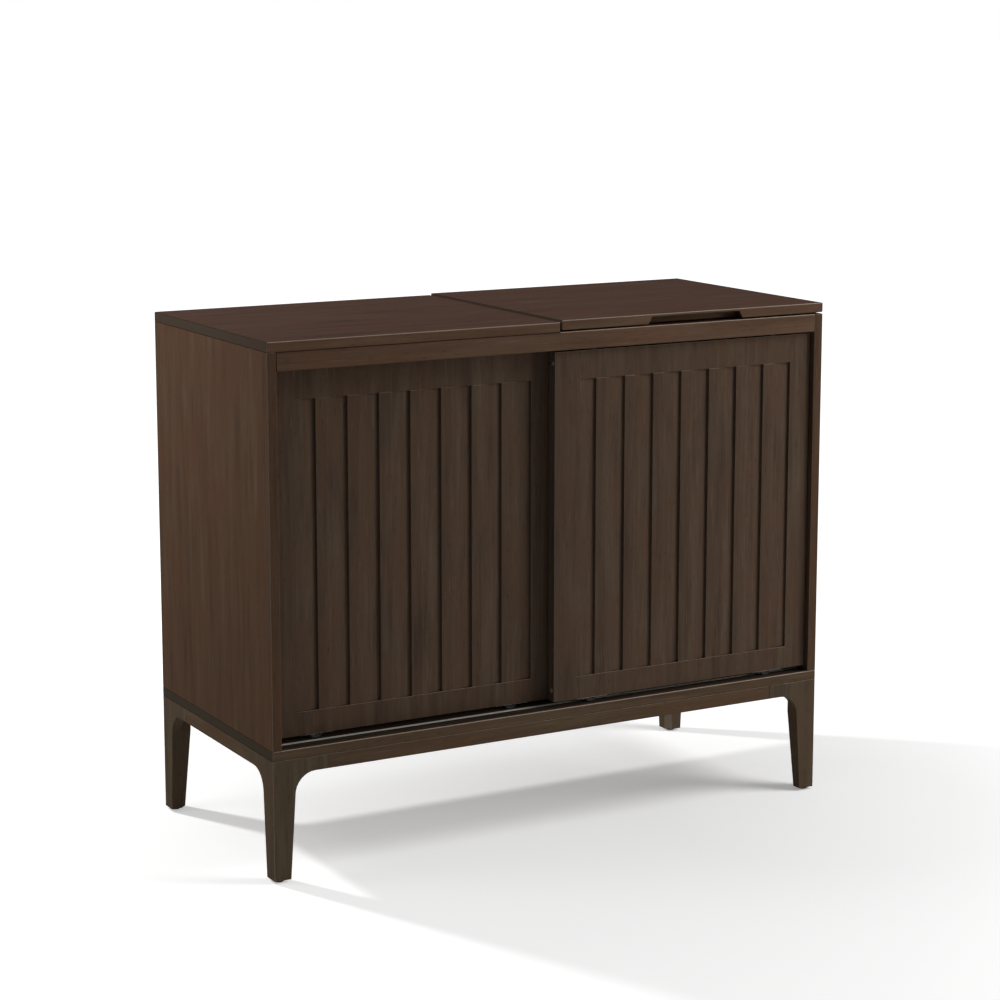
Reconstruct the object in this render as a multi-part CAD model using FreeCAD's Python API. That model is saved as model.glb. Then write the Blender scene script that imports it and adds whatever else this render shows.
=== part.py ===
import FreeCAD, Part
import math
import os

# Record player stand: a two-bay cabinet with bypass sliding doors and a lift lid, on bracket legs.
# Millimetres. X runs along the width, Y from front to back, Z up from the floor.

# Carcass
WIDTH = 900.0
DEPTH = 395.0
SIDE_HEIGHT = 544.0
SIDE_T = 14.0
BASE_T = 14.0
TOP_T = 14.0
LID_T = 14.0
TOP_SPLIT_GAP = 2.5
LID_LIFT = 2.5
EDGE_EASE = 0.9
DIVIDER_T = 18.0
RAIL_H = 26.0
REAR_RAIL_DEPTH = 45.0
BACK_T = 4.0
BACK_REBATE = 7.0
CABLE_HOLE_R = 25.0
CABLE_HOLE_RISE = 60.0

# Shelves and their pins
SHELF_T = 16.0
RECORD_BAY_H = 343.0
SHELF_SIDE_GAP = 1.0
PIN_STEM_R = 2.5
PIN_STEM_LENGTH = 8.0
PIN_PLATE = (10.0, 12.0, 3.0)
PIN_INSET = 45.0
PIN_HOLE_STEP = 32.0

# Legs and aprons
GLIDE_H = 4.0
GLIDE_R = 7.0
GLIDE_EASE = 0.8
LEG_HEIGHT = 169.0
LEG_FOOT_W = 25.0
LEG_TOP_W = 33.0
LEG_CHAMFER = 9.0
LEG_ARC_R = 31.0
EAR_LENGTH = 84.0
APRON_H = 20.0
APRON_T = 16.0
SEAM_EASE = 0.5

# Sliding doors
DOOR_T = 18.0
DOOR_SETBACK = 8.0
DOOR_SPACING = 4.0
DOOR_OVERLAP = 10.0
DOOR_BOTTOM_GAP = 8.0
DOOR_TOP_GAP = 3.0
DOOR_REAR_GAP = 4.0
STILE_W = 36.0
DOOR_TOP_RAIL_H = 41.0
DOOR_BOTTOM_RAIL_H = 33.7
FLUTE_COUNT = 8
FLUTE_LAND = 16.0
FLUTE_DEPTH = 3.5
PANEL_T = 13.0
TONGUE_T = 5.0
TONGUE_REACH = 7.0

# Door rollers, guides and bumpers
ROLLER_INSET = 66.0
WHEEL_R = 11.0
WHEEL_T = 5.0
WHEEL_SIDE_GAP = 0.35
ROLL_GAP = 0.3
RUN_FIT = 0.05
AXLE_R = 1.5
SHEET_T = 1.2
HOUSING_LENGTH = 40.0
HOUSING_HEADROOM = 1.0
FLANGE_REACH = 8.0
FLANGE_W = 12.0
GUIDE_PIN_R = 3.5
GUIDE_PIN_RISE = 8.0
GUIDE_PIN_DEPTH = 20.0
GUIDE_COLLAR_R = 6.0
GUIDE_COLLAR_H = 1.5
GUIDE_WALL = 1.2
GUIDE_PLAY = 0.35
GUIDE_CHANNEL_H = 12.0
BUMPER_R = 5.0
BUMPER_H = 1.5
BUMPER_INSET = 16.0
BUMPER_CROWN = 0.7
STOP_GAP = 0.3

# Lower door track
TRACK_W = 45.0
TRACK_FLOOR_T = 1.0
TRACK_REBATE = 2.0
TRACK_RIB_T = 1.2
TRACK_RIB_H = 1.6
TRACK_PLAY = 0.6

# Lid hinges, bumpers and finger notch
HINGE_LENGTH = 50.0
HINGE_INSET = 70.0
LEAF_W = 24.0
LEAF_T = 1.1
KNUCKLE_R = 2.5
KNUCKLE_GAP = 0.5
KNUCKLE_MIDDLE = 17.0
HINGE_PIN_R = 1.2
LID_BUMPER_R = 4.0
LID_BUMPER_INSET = 20.0
NOTCH_LENGTH = 162.0
NOTCH_END_SLANT = 6.0
NOTCH_H = 10.5
NOTCH_DEPTH = 17.0
NOTCH_FLAT = 7.0

# Dowels and screws
FASTENER_SIDES = 6
SMALL_ROUND_SIDES = 12
WHEEL_SIDES = 24
DOWEL_R = 4.0
APRON_DOWEL_R = 3.0
DOWEL_SHALLOW = 9.0
DOWEL_DEEP = 18.0
SCREW_R = 1.5
SCREW_HEAD_R = 3.0
SCREW_LENGTH = 11.0
DOME_HEAD_H = 1.2
DOME_TOP = 0.6
BASE_SCREW_R = 2.0
BASE_SCREW_HEAD_R = 4.0
BASE_SCREW_BITE = 9.0
SCREW_EDGE = 1.0
BACK_SCREW_COUNT = 3

# Levels, from the floor up
LEG_TOP = GLIDE_H + LEG_HEIGHT
BASE_TOP = LEG_TOP + BASE_T
TOP_UNDER = BASE_TOP + SIDE_HEIGHT
LID_UNDER = TOP_UNDER + LID_LIFT
RAIL_UNDER = TOP_UNDER - RAIL_H
APRON_UNDER = LEG_TOP - APRON_H
SHELF_UNDER = BASE_TOP + RECORD_BAY_H
SHELF_TOP = SHELF_UNDER + SHELF_T
DOOR_BOTTOM = BASE_TOP + DOOR_BOTTOM_GAP
DOOR_TOP = RAIL_UNDER - DOOR_TOP_GAP
TRACK_FLOOR = BASE_TOP - TRACK_REBATE + TRACK_FLOOR_T

# Places across the width and depth; the origin is under the middle of the whole stand, hinges included
PIN_OFFSET = KNUCKLE_R + KNUCKLE_GAP
HINGE_PROUD = PIN_OFFSET + KNUCKLE_R
FRONT = -(DEPTH + HINGE_PROUD) / 2
BACK = FRONT + DEPTH
MID_Y = FRONT + DEPTH / 2
LEFT = -WIDTH / 2
RIGHT = WIDTH / 2
INNER_LEFT = LEFT + SIDE_T
INNER_RIGHT = RIGHT - SIDE_T
DIVIDER_LEFT = -DIVIDER_T / 2
DIVIDER_RIGHT = DIVIDER_T / 2
TOP_RIGHT = -TOP_SPLIT_GAP / 2
LID_LEFT = TOP_SPLIT_GAP / 2
LID_MIDDLE = (LID_LEFT + RIGHT) / 2
BACK_FACE = BACK - BACK_T
FRONT_DOOR_Y = FRONT + DOOR_SETBACK
REAR_DOOR_Y = FRONT_DOOR_Y + DOOR_T + DOOR_SPACING
BAY_FRONT = REAR_DOOR_Y + DOOR_T + DOOR_REAR_GAP
DOOR_LEFT_STOP = INNER_LEFT + STOP_GAP + BUMPER_H
DOOR_RIGHT_STOP = INNER_RIGHT - STOP_GAP - BUMPER_H
DOOR_W = (DOOR_RIGHT_STOP - DOOR_LEFT_STOP + DOOR_OVERLAP) / 2
HINGE_Y = BACK + PIN_OFFSET
HINGE_Z = (TOP_UNDER + LID_UNDER) / 2
HINGE_PLACES = (LID_LEFT + HINGE_INSET, RIGHT - HINGE_INSET)

V = FreeCAD.Vector
AXIS_X = V(1, 0, 0)
AXIS_Y = V(0, 1, 0)
AXIS_Z = V(0, 0, 1)


# Basic forms

def block(x0, x1, y0, y1, z0, z1):
    return Part.makeBox(x1 - x0, y1 - y0, z1 - z0, V(x0, y0, z0))


def rod(radius, length, start, direction):
    return Part.makeCylinder(radius, length, start, direction)


def prism(points, reach):
    return Part.Face(Part.makePolygon(points + points[:1])).extrude(reach)


def peg(radius, length, start, direction):
    """Many-sided rod, for the small fasteners and their holes."""
    return faceted([(radius, 0), (radius, length)], start, direction, FASTENER_SIDES)


def pin(radius, length, start, direction):
    """Finer many-sided rod, for the axles and hinge pins and their tight seats."""
    return faceted([(radius, 0), (radius, length)], start, direction, SMALL_ROUND_SIDES)


def stacked(rings):
    """Solid with flat faces through rings of corners, each ring one level of the form."""
    count = len(rings[0])
    faces = [Part.Face(Part.makePolygon(ring + ring[:1])) for ring in (rings[0], rings[-1])]
    for low, high in zip(rings, rings[1:]):
        for corner in range(count):
            after = (corner + 1) % count
            side = [low[corner], low[after], high[after], high[corner], low[corner]]
            faces.append(Part.Face(Part.makePolygon(side)))
    solid = Part.Solid(Part.Shell(faces))
    solid.fixTolerance(1e-6)
    return solid


def faceted(profile, base, direction, sides):
    """Stack of many-sided rings, each a (radius, height), stood at base along direction."""
    turn = FreeCAD.Rotation(AXIS_Z, direction)
    angles = [2 * math.pi * (side + 0.5) / sides for side in range(sides)]
    return stacked([[base + turn.multVec(V(radius * math.cos(a), radius * math.sin(a), height))
                     for a in angles] for radius, height in profile])


def eased(shape, size, chosen):
    return shape.makeChamfer(size, [edge for edge in shape.Edges if chosen(edge)])


def along(edge, axis):
    return abs(edge.tangentAt(edge.FirstParameter).dot(axis)) > 0.999


def lies_at(edge, axis, place):
    return abs(edge.CenterOfMass.dot(axis) - place) < 1e-4


def fitted(board, pieces):
    """Cut the seats of every fastener or insert that reaches into a board."""
    tools = [piece for piece in pieces if piece.BoundBox.intersect(board.BoundBox)]
    return board.cut(tools) if tools else board


def countersunk(tip, direction, length, radius, head_r):
    """Screw whose flat head lies flush at tip and whose shank points along direction."""
    outline = [(head_r, 0), (radius, head_r - radius), (radius, length)]
    return faceted(outline, tip, direction, FASTENER_SIDES)


def dome_headed(seat, direction, length, radius, head_r):
    """Screw with a low domed head standing off its seat."""
    outline = [(DOME_TOP * head_r, -DOME_HEAD_H), (head_r, 0), (radius, 0), (radius, length)]
    return faceted(outline, seat, direction, FASTENER_SIDES)


def dowel(radius, middle, direction, behind, ahead):
    return peg(radius, behind + ahead, middle - direction * behind, direction)


# Legs and aprons

def leg():
    """Front left leg: two arched boards on a tapered corner post with a chamfered inner edge."""
    arc_bottom = APRON_UNDER - LEG_ARC_R
    arc_end = LEG_TOP_W + LEG_ARC_R
    bend = LEG_ARC_R * math.sqrt(0.5)

    def board(along_x):
        def at(s, z):
            return V(s, 0, z) if along_x else V(0, s, z)
        arc = Part.Arc(at(arc_end, APRON_UNDER),
                       at(arc_end - bend, arc_bottom + bend),
                       at(LEG_TOP_W, arc_bottom)).toShape()
        upper = Part.makePolygon([at(0, GLIDE_H), at(0, LEG_TOP), at(EAR_LENGTH, LEG_TOP),
                                  at(EAR_LENGTH, APRON_UNDER), at(arc_end, APRON_UNDER)])
        lower = Part.makePolygon([at(LEG_TOP_W, arc_bottom), at(LEG_FOOT_W, GLIDE_H), at(0, GLIDE_H)])
        outline = Part.Wire(upper.Edges + [arc] + lower.Edges)
        return Part.Face(outline).extrude((AXIS_Y if along_x else AXIS_X) * APRON_T)

    def section(width, z):
        flat = width - LEG_CHAMFER
        return [V(0, 0, z), V(width, 0, z), V(width, flat, z), V(flat, width, z), V(0, width, z)]

    levels = ((LEG_FOOT_W, GLIDE_H), (LEG_TOP_W, arc_bottom), (LEG_TOP_W, LEG_TOP))
    post = stacked([section(width, z) for width, z in levels])
    solid = board(True).fuse([board(False), post]).removeSplitter()
    corner = [edge for edge in solid.Edges
              if along(edge, AXIS_Z) and lies_at(edge, AXIS_X, 0) and lies_at(edge, AXIS_Y, 0)]
    solid = solid.makeChamfer(EDGE_EASE, corner)
    solid.translate(V(LEFT, FRONT, 0))
    return solid


def four_corners(shape):
    """The shape given at the front left, and its mirror images at the other three corners."""
    right = shape.mirror(V(), AXIS_X)
    rear = shape.mirror(V(0, MID_Y, 0), AXIS_Y)
    return {
        "front_left": shape,
        "front_right": right,
        "rear_left": rear,
        "rear_right": right.mirror(V(0, MID_Y, 0), AXIS_Y),
    }


def aprons():
    near = LEFT + EAR_LENGTH
    ahead = FRONT + EAR_LENGTH
    level = (APRON_UNDER, LEG_TOP)
    front = block(near, -near, FRONT, FRONT + APRON_T, *level)
    left = block(LEFT, LEFT + APRON_T, ahead, BACK - EAR_LENGTH, *level)
    front = eased(front, SEAM_EASE, lambda edge: along(edge, AXIS_Z) and lies_at(edge, AXIS_Y, FRONT))
    left = eased(left, SEAM_EASE, lambda edge: along(edge, AXIS_Z) and lies_at(edge, AXIS_X, LEFT))
    return {
        "front_apron": front,
        "rear_apron": front.mirror(V(0, MID_Y, 0), AXIS_Y),
        "left_apron": left,
        "right_apron": left.mirror(V(), AXIS_X),
    }


def foot_glides():
    inset = (LEG_FOOT_W - LEG_CHAMFER / 4) / 2
    outline = [(GLIDE_R - GLIDE_EASE, 0), (GLIDE_R, GLIDE_EASE), (GLIDE_R, GLIDE_H)]
    glide = faceted(outline, V(LEFT + inset, FRONT + inset, 0), AXIS_Z, SMALL_ROUND_SIDES)
    return list(four_corners(glide).values())


def apron_dowels():
    middle = LEG_TOP - APRON_H / 2
    depth = APRON_T / 3
    ear = EAR_LENGTH
    front = dowel(APRON_DOWEL_R, V(LEFT + ear, FRONT + depth, middle), AXIS_X, DOWEL_DEEP, DOWEL_DEEP)
    side = dowel(APRON_DOWEL_R, V(LEFT + depth, FRONT + ear, middle), AXIS_Y, DOWEL_DEEP, DOWEL_DEEP)
    return list(four_corners(front).values()) + list(four_corners(side).values())


def base_screws():
    """Screws from under the leg ears and aprons up into the base board, behind the dowels."""
    length = APRON_H + BASE_SCREW_BITE
    depth = APRON_T - BASE_SCREW_HEAD_R - SCREW_EDGE
    ear = (LEG_TOP_W + LEG_ARC_R + EAR_LENGTH) / 2
    places = [(LEFT + ear, FRONT + depth), (LEFT + depth, FRONT + ear), (LEFT / 4, FRONT + depth)]
    screws = []
    for x, y in places:
        screw = countersunk(V(x, y, APRON_UNDER), AXIS_Z, length, BASE_SCREW_R, BASE_SCREW_HEAD_R)
        screws += four_corners(screw).values()
    return screws


# Carcass boards

def back_rebate(x0, x1):
    """Space of the thin back, let into the boards around it."""
    return block(x0, x1, BACK_FACE, BACK, BASE_TOP - BACK_REBATE, RAIL_UNDER + BACK_REBATE)


def side_panel(x0, x1, rebate):
    board = block(x0, x1, FRONT, BACK, BASE_TOP, TOP_UNDER)
    board = eased(board, EDGE_EASE, lambda edge: along(edge, AXIS_Z))
    return board.cut(rebate)


def base_panel(rebate):
    board = block(LEFT, RIGHT, FRONT, BACK, LEG_TOP, BASE_TOP)
    board = eased(board, EDGE_EASE, lambda edge: True)
    track_seat = block(INNER_LEFT, INNER_RIGHT, *track_span(), BASE_TOP - TRACK_REBATE, BASE_TOP)
    return board.cut([rebate, track_seat])


def centre_divider():
    board = block(DIVIDER_LEFT, DIVIDER_RIGHT, BAY_FRONT, BACK_FACE, BASE_TOP, TOP_UNDER)
    return board.cut(rear_rail_space())


def rear_rail_space():
    return block(INNER_LEFT, INNER_RIGHT, BACK - REAR_RAIL_DEPTH, BACK, RAIL_UNDER, TOP_UNDER)


def fixed_top():
    board = block(LEFT, TOP_RIGHT, FRONT, BACK, TOP_UNDER, TOP_UNDER + TOP_T)
    return eased(board, EDGE_EASE, lambda edge: True)


def back_panel(x0, x1):
    board = block(x0, x1, BACK_FACE, BACK, BASE_TOP - BACK_REBATE, RAIL_UNDER + BACK_REBATE)
    hole = rod(CABLE_HOLE_R, BACK_T, V((x0 + x1) / 2, BACK_FACE, SHELF_TOP + CABLE_HOLE_RISE), AXIS_Y)
    return board.cut(hole)


def shelf(x0, x1):
    board = block(x0 + SHELF_SIDE_GAP, x1 - SHELF_SIDE_GAP, BAY_FRONT, BACK_FACE, SHELF_UNDER, SHELF_TOP)
    return eased(board, EDGE_EASE, lambda edge: along(edge, AXIS_X) and lies_at(edge, AXIS_Y, BAY_FRONT))


def pin_places():
    """Foot of each shelf pin on a bay wall, with the direction it points into the bay."""
    rows = (BAY_FRONT + PIN_INSET, BACK_FACE - PIN_INSET)
    walls = ((INNER_LEFT, 1), (DIVIDER_LEFT, -1), (DIVIDER_RIGHT, 1), (INNER_RIGHT, -1))
    return [(x, y, way) for x, way in walls for y in rows]


def shelf_pins():
    reach, width, thick = PIN_PLATE
    pins = []
    for x, y, way in pin_places():
        stem = peg(PIN_STEM_R, PIN_STEM_LENGTH, V(x, y, SHELF_UNDER - PIN_STEM_R), AXIS_X * -way)
        plate = block(min(x, x + way * reach), max(x, x + way * reach),
                      y - width / 2, y + width / 2, SHELF_UNDER - thick, SHELF_UNDER)
        pins.append(stem.fuse(plate).removeSplitter())
    return pins


def spare_pin_holes():
    """Holes one step above and below each pin, for moving a shelf."""
    holes = []
    for x, y, way in pin_places():
        for step in (-PIN_HOLE_STEP, PIN_HOLE_STEP):
            foot = V(x, y, SHELF_UNDER - PIN_STEM_R + step)
            holes.append(peg(PIN_STEM_R, PIN_STEM_LENGTH, foot, AXIS_X * -way))
    return holes


def carcass_dowels():
    pegs = []
    for x in (LEFT + SIDE_T / 2, RIGHT - SIDE_T / 2, 0):
        for y in (BAY_FRONT + PIN_INSET, BACK_FACE - PIN_INSET):
            pegs.append(dowel(DOWEL_R, V(x, y, BASE_TOP), AXIS_Z, DOWEL_SHALLOW, DOWEL_DEEP))
    for y in (BAY_FRONT + PIN_INSET, BACK_FACE - PIN_INSET):
        pegs.append(dowel(DOWEL_R, V(LEFT + SIDE_T / 2, y, TOP_UNDER), AXIS_Z, DOWEL_DEEP, DOWEL_SHALLOW))
    level = TOP_UNDER - (RAIL_H - GUIDE_CHANNEL_H) / 2
    for y in ((FRONT + BAY_FRONT) / 2, BACK - REAR_RAIL_DEPTH / 2):
        pegs.append(dowel(DOWEL_R, V(INNER_LEFT, y, level), AXIS_X, DOWEL_SHALLOW, DOWEL_DEEP))
        pegs.append(dowel(DOWEL_R, V(INNER_RIGHT, y, level), AXIS_X, DOWEL_DEEP, DOWEL_SHALLOW))
    return pegs


def top_screws():
    """Screws up through the two top rails into the fixed top."""
    screws = []
    for x in (INNER_LEFT + PIN_INSET, DIVIDER_LEFT - PIN_INSET):
        for y in ((FRONT + BAY_FRONT) / 2, BACK - REAR_RAIL_DEPTH / 2):
            screws.append(countersunk(V(x, y, RAIL_UNDER), AXIS_Z, RAIL_H + BASE_SCREW_BITE,
                                      BASE_SCREW_R, BASE_SCREW_HEAD_R))
    return screws


def back_screws():
    """Screws round the edges of the thin backs, into the sides and the divider."""
    inset = BACK_REBATE / 2
    low = BASE_TOP + PIN_INSET
    step = (RAIL_UNDER - PIN_INSET - low) / (BACK_SCREW_COUNT - 1)
    columns = (INNER_LEFT - inset, DIVIDER_LEFT + inset, DIVIDER_RIGHT - inset, INNER_RIGHT + inset)
    return [dome_headed(V(x, BACK, low + row * step), -AXIS_Y, SCREW_LENGTH, SCREW_R, SCREW_HEAD_R)
            for x in columns for row in range(BACK_SCREW_COUNT)]


# Tracks and guides

def door_lines():
    return (FRONT_DOOR_Y + DOOR_T / 2, REAR_DOOR_Y + DOOR_T / 2)


def track_span():
    middle = sum(door_lines()) / 2
    return middle - TRACK_W / 2, middle + TRACK_W / 2


def lower_track():
    """Double channel: lips at the edges, a middle rib, and a pair of ribs beside each wheel line."""
    y0, y1 = track_span()
    floor_z = BASE_TOP - TRACK_REBATE
    rib_top = TRACK_FLOOR + TRACK_RIB_H
    half = TRACK_RIB_T / 2
    beside = WHEEL_T / 2 + TRACK_PLAY + half
    ribs = [y0 + half, (y0 + y1) / 2, y1 - half]
    for line in door_lines():
        ribs += [line - beside, line + beside]
    plate = block(INNER_LEFT, INNER_RIGHT, y0, y1, floor_z, TRACK_FLOOR)
    bars = [block(INNER_LEFT, INNER_RIGHT, y - half, y + half, floor_z, rib_top) for y in ribs]
    return plate.fuse(bars).removeSplitter()


def guide_space(line):
    half = GUIDE_PIN_R + GUIDE_PLAY + GUIDE_WALL
    return block(INNER_LEFT, INNER_RIGHT, line - half, line + half, RAIL_UNDER, RAIL_UNDER + GUIDE_CHANNEL_H)


def upper_guides():
    channels = []
    half = GUIDE_PIN_R + GUIDE_PLAY
    for line in door_lines():
        hollow = block(INNER_LEFT, INNER_RIGHT, line - half, line + half,
                       RAIL_UNDER, RAIL_UNDER + GUIDE_CHANNEL_H - GUIDE_WALL)
        channels.append(guide_space(line).cut(hollow))
    return channels


def front_top_rail():
    board = block(INNER_LEFT, INNER_RIGHT, FRONT, BAY_FRONT, RAIL_UNDER, TOP_UNDER)
    board = eased(board, EDGE_EASE, lambda edge: along(edge, AXIS_X) and lies_at(edge, AXIS_Y, FRONT))
    return board.cut([guide_space(line) for line in door_lines()])


# Sliding doors

def fluted_panel(x0, x1, y, z0, z1):
    """Panel of shallow saw-tooth flutes, with a tongue all round that sits in the door frame."""
    ramp = (x1 - x0 - FLUTE_LAND * (FLUTE_COUNT - 1)) / FLUTE_COUNT
    outline = [V(x1, y + PANEL_T, z0), V(x0, y + PANEL_T, z0), V(x0, y, z0)]
    for flute in range(FLUTE_COUNT):
        step = x0 + flute * (ramp + FLUTE_LAND) + ramp
        outline.append(V(step, y + FLUTE_DEPTH, z0))
        if flute < FLUTE_COUNT - 1:
            outline += [V(step, y, z0), V(step + FLUTE_LAND, y, z0)]
    field = prism(outline, AXIS_Z * (z1 - z0))
    tongue_y = y + (FLUTE_DEPTH + PANEL_T - TONGUE_T) / 2
    tongue = block(x0 - TONGUE_REACH, x1 + TONGUE_REACH, tongue_y, tongue_y + TONGUE_T,
                   z0 - TONGUE_REACH, z1 + TONGUE_REACH)
    return field.fuse(tongue).removeSplitter()


def roller_places(x0):
    return (x0 + ROLLER_INSET, x0 + DOOR_W - ROLLER_INSET)


def wheel_level():
    return TRACK_FLOOR + ROLL_GAP + WHEEL_R


def housing_width():
    return WHEEL_T + 2 * WHEEL_SIDE_GAP + 2 * SHEET_T


def roller_housing(x, line):
    """Pressed cup let into the door, with cheeks for the axle and a flange under the door."""
    half = HOUSING_LENGTH / 2
    wide = housing_width() / 2
    roof = wheel_level() + WHEEL_R + HOUSING_HEADROOM
    cup = block(x - half, x + half, line - wide, line + wide, DOOR_BOTTOM, roof + SHEET_T)
    reach = half + FLANGE_REACH
    flange = block(x - reach, x + reach, line - FLANGE_W / 2, line + FLANGE_W / 2,
                   DOOR_BOTTOM - SHEET_T, DOOR_BOTTOM)
    flange = eased(flange, FLANGE_W / 4, lambda edge: along(edge, AXIS_Z))
    hollow = block(x - half + SHEET_T, x + half - SHEET_T, line - wide + SHEET_T, line + wide - SHEET_T,
                   DOOR_BOTTOM - SHEET_T, roof)
    return cup.fuse(flange).cut([hollow, roller_axle(x, line)])


def roller_axle(x, line):
    wide = housing_width() / 2
    return pin(AXLE_R, 2 * wide, V(x, line - wide, wheel_level()), AXIS_Y)


def roller_screws(x, line):
    reach = (HOUSING_LENGTH + FLANGE_REACH) / 2
    under = DOOR_BOTTOM - SHEET_T
    return [dome_headed(V(x + side * reach, line, under), AXIS_Z, SCREW_LENGTH, SCREW_R, SCREW_HEAD_R)
            for side in (-1, 1)]


def wheel(x, line):
    """Moulded wheel, bored to run on its axle."""
    side = V(x, line - WHEEL_T / 2, wheel_level())
    tread = faceted([(WHEEL_R, 0), (WHEEL_R, WHEEL_T)], side, AXIS_Y, WHEEL_SIDES)
    return tread.cut(rod(AXLE_R + RUN_FIT, WHEEL_T, side, AXIS_Y))


def guide_pin(x, line):
    top = DOOR_TOP_GAP + GUIDE_PIN_RISE
    stem = [(GUIDE_PIN_R, -GUIDE_PIN_DEPTH), (GUIDE_PIN_R, top - GUIDE_PIN_R / 2), (GUIDE_PIN_R / 2, top)]
    collar = [(GUIDE_COLLAR_R, 0), (GUIDE_COLLAR_R, GUIDE_COLLAR_H)]
    forms = [faceted(form, V(x, line, DOOR_TOP), AXIS_Z, SMALL_ROUND_SIDES) for form in (stem, collar)]
    return forms[0].fuse(forms[1])


def edge_bumpers(x0, line):
    outline = [(BUMPER_R, 0), (BUMPER_R, BUMPER_H / 3), (BUMPER_CROWN * BUMPER_R, BUMPER_H)]
    dots = []
    for x, way in ((x0, -1), (x0 + DOOR_W, 1)):
        for z in (DOOR_BOTTOM + BUMPER_INSET, DOOR_TOP - BUMPER_INSET):
            dots.append(faceted(outline, V(x, line, z), AXIS_X * way, SMALL_ROUND_SIDES))
    return dots


def door(x0, y):
    """One framed door with its hardware, its left edge at x0 and its front face at y."""
    x1 = x0 + DOOR_W
    line = y + DOOR_T / 2
    inner = (x0 + STILE_W, x1 - STILE_W)
    levels = (DOOR_BOTTOM + DOOR_BOTTOM_RAIL_H, DOOR_TOP - DOOR_TOP_RAIL_H)
    panel = fluted_panel(*inner, y, *levels)
    rollers = roller_places(x0)
    housings = [roller_housing(x, line) for x in rollers]
    axles = [roller_axle(x, line) for x in rollers]
    screws = [screw for x in rollers for screw in roller_screws(x, line)]
    pins = [guide_pin(x, line) for x in rollers]

    def outer(edge):
        on_side = lies_at(edge, AXIS_X, x0) or lies_at(edge, AXIS_X, x1)
        return along(edge, AXIS_Z) and on_side

    left = eased(block(x0, inner[0], y, y + DOOR_T, DOOR_BOTTOM, DOOR_TOP), EDGE_EASE, outer)
    right = eased(block(inner[1], x1, y, y + DOOR_T, DOOR_BOTTOM, DOOR_TOP), EDGE_EASE, outer)
    top = block(*inner, y, y + DOOR_T, levels[1], DOOR_TOP)
    bottom = block(*inner, y, y + DOOR_T, DOOR_BOTTOM, levels[0])
    pockets = [block(x - HOUSING_LENGTH / 2, x + HOUSING_LENGTH / 2,
                     line - housing_width() / 2, line + housing_width() / 2,
                     DOOR_BOTTOM, housing.BoundBox.ZMax) for x, housing in zip(rollers, housings)]
    return {
        "left_stile": left.cut(panel),
        "right_stile": right.cut(panel),
        "top_rail": top.cut([panel] + pins),
        "bottom_rail": bottom.cut([panel] + pockets + screws),
        "fluted_panel": panel,
        "roller_housings": [housing.cut(screws) for housing in housings],
        "roller_axles": axles,
        "roller_screws": screws,
        "left_wheel": wheel(rollers[0], line),
        "right_wheel": wheel(rollers[1], line),
        "guide_pins": pins,
        "edge_bumpers": edge_bumpers(x0, line),
    }


# Lift lid

def finger_notch():
    """Scoop in the underside of the lid's front edge: slanted ends and a coved back wall."""
    under = LID_UNDER
    roof = LID_UNDER + NOTCH_H
    half = NOTCH_LENGTH / 2
    flat = FRONT + NOTCH_FLAT
    deep = FRONT + NOTCH_DEPTH
    middle = V(0, flat + (deep - flat) * math.sqrt(0.5), under + NOTCH_H * math.sqrt(0.5))
    cove = Part.Arc(V(0, flat, roof), middle, V(0, deep, under)).toShape()
    rest = Part.makePolygon([V(0, deep, under), V(0, FRONT, under), V(0, FRONT, roof), V(0, flat, roof)])
    scoop = Part.Face(Part.Wire([cove] + rest.Edges)).extrude(AXIS_X * NOTCH_LENGTH)
    scoop.translate(V(LID_MIDDLE - half, 0, 0))
    short = half - NOTCH_END_SLANT
    ends = prism([V(LID_MIDDLE - half, FRONT, under), V(LID_MIDDLE + half, FRONT, under),
                  V(LID_MIDDLE + short, FRONT, roof), V(LID_MIDDLE - short, FRONT, roof)],
                 AXIS_Y * NOTCH_DEPTH)
    return scoop.common(ends)


def lid():
    board = block(LID_LEFT, RIGHT, FRONT, BACK, LID_UNDER, LID_UNDER + LID_T)
    return eased(board, EDGE_EASE, lambda edge: True).cut(finger_notch())


def lid_bumpers():
    rise = LID_LIFT - STOP_GAP
    outline = [(LID_BUMPER_R, 0), (LID_BUMPER_R, rise / 2), (BUMPER_CROWN * LID_BUMPER_R, rise)]
    places = (DIVIDER_RIGHT + LID_BUMPER_INSET, INNER_RIGHT - LID_BUMPER_INSET)
    return [faceted(outline, V(x, FRONT + LID_BUMPER_INSET, TOP_UNDER), AXIS_Z, SMALL_ROUND_SIDES)
            for x in places]


def hinge_leaf(x, z0, z1, knuckles, hole):
    """Flat leaf in the gap under the lid, with tabs running back into its share of the knuckles."""
    half = HINGE_LENGTH / 2
    plate = block(x - half, x + half, BACK - LEAF_W, HINGE_Y - KNUCKLE_R - KNUCKLE_GAP, z0, z1)
    grown = []
    for a, b in knuckles:
        grown.append(block(x + a, x + b, BACK - LEAF_W, HINGE_Y, z0, z1))
        grown.append(faceted([(KNUCKLE_R, 0), (KNUCKLE_R, b - a)], V(x + a, HINGE_Y, HINGE_Z), AXIS_X,
                             SMALL_ROUND_SIDES))
    return plate.fuse(grown).removeSplitter().cut(hole)


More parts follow.
